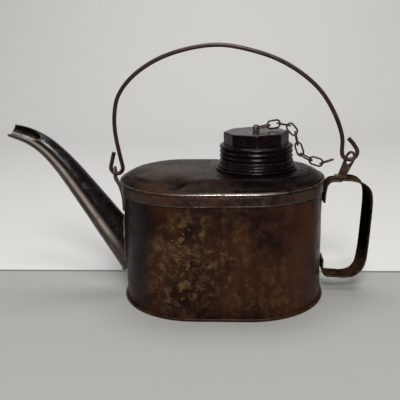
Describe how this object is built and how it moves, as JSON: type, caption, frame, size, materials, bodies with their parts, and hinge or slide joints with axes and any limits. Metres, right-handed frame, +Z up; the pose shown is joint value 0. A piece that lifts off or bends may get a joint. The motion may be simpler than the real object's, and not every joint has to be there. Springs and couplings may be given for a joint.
{
  "type": "oil can",
  "caption": "Oval tin oil can with a long swept spout, strap handle, wire bail and an octagonal screw cap kept on a chain.",
  "frame": {"origin": "centre of the flat underside, on the surface the can stands on", "axes": "+X towards the strap handle, spout towards -X, +Z up, +Y towards the far long side"},
  "size_m": [0.297, 0.126, 0.2084],
  "materials": {
    "tin": "satin",
    "dark_tin": "satin",
    "strap": "satin",
    "ear_iron": "matte",
    "bail_iron": "satin",
    "cap_metal": "satin",
    "cork": "matte",
    "chain_iron": "matte"
  },
  "bodies": {
    "can": {"body_shell": "tin", "bottom_plate": "tin", "top_cover": "tin", "rim_band": "tin", "spout": "dark_tin", "handle_strap": "strap", "ear_left": "ear_iron", "ear_right": "ear_iron", "filler_neck": "cap_metal"},
    "bail": {"bail_wire": "bail_iron"},
    "swivel": {"chain_swivel": "chain_iron", "swivel_washer": "chain_iron"},
    "cap": {"screw_cap": "cap_metal", "cap_gasket": "cork"},
    "chain_link_1": {"chain_link_1": "chain_iron"},
    "chain_link_2": {"chain_link_2": "chain_iron"},
    "chain_link_3": {"chain_link_3": "chain_iron"},
    "chain_link_4": {"chain_link_4": "chain_iron"},
    "chain_link_5": {"chain_link_5": "chain_iron"},
    "chain_link_6": {"chain_link_6": "chain_iron"},
    "chain_link_7": {"chain_link_7": "chain_iron"},
    "chain_link_8": {"chain_link_8": "chain_iron"},
    "chain_link_9": {"chain_link_9": "chain_iron"}
  },
  "joints": [
    {"name": "bail_swing", "type": "hinge", "parent": "can", "child": "bail", "pos_m": [-0.089, 0, 0.1044], "axis": [0.9987, 0, 0.0513], "range_deg": [-95, 95]},
    {"name": "cap_lift", "type": "slide", "parent": "can", "child": "swivel", "axis": [0, 0, 1], "range_m": [0, 0.0114]},
    {"name": "cap_turn", "type": "hinge", "parent": "swivel", "child": "cap", "pos_m": [0.0283, 0, 0.12], "axis": [0, 0, 1], "range_deg": [0, 1081]},
    {"name": "chain_link_1_sway", "type": "hinge", "parent": "swivel", "child": "chain_link_1", "pos_m": [0.0295, 0, 0.14115], "axis": [0, 0, 1], "range_deg": [-4, 4]},
    {"name": "chain_link_2_sway", "type": "hinge", "parent": "chain_link_1", "child": "chain_link_2", "pos_m": [0.03831, 0.00191, 0.14276], "axis": [0, 0, 1], "range_deg": [-4, 4]},
    {"name": "chain_link_3_sway", "type": "hinge", "parent": "chain_link_2", "child": "chain_link_3", "pos_m": [0.04679, 0.00529, 0.14359], "axis": [0, 0, 1], "range_deg": [-4, 4]},
    {"name": "chain_link_4_sway", "type": "hinge", "parent": "chain_link_3", "child": "chain_link_4", "pos_m": [0.05505, 0.00867, 0.14151], "axis": [0, 0, 1], "range_deg": [-4, 4]},
    {"name": "chain_link_5_sway", "type": "hinge", "parent": "chain_link_4", "child": "chain_link_5", "pos_m": [0.06082, 0.01084, 0.13473], "axis": [0, 0, 1], "range_deg": [-4, 4]},
    {"name": "chain_link_6_sway", "type": "hinge", "parent": "chain_link_5", "child": "chain_link_6", "pos_m": [0.0627, 0.01052, 0.12577], "axis": [0, 0, 1], "range_deg": [-7, 7]},
    {"name": "chain_link_7_sway", "type": "hinge", "parent": "chain_link_6", "child": "chain_link_7", "pos_m": [0.06556, 0.00825, 0.11737], "axis": [0, 0, 1], "range_deg": [-7, 7]},
    {"name": "chain_link_8_sway", "type": "hinge", "parent": "chain_link_7", "child": "chain_link_8", "pos_m": [0.07324, 0.00549, 0.11322], "axis": [0, 0, 1], "range_deg": [-7, 7]},
    {"name": "chain_link_9_sway", "type": "hinge", "parent": "chain_link_8", "child": "chain_link_9", "pos_m": [0.08149, 0.0021, 0.11117], "axis": [0, 0, 1], "range_deg": [-7, 7]}
  ],
  "couplings": [
    {"joint": "cap_turn", "follows": "cap_lift", "rad_per_m": 1653.5}
  ]
}
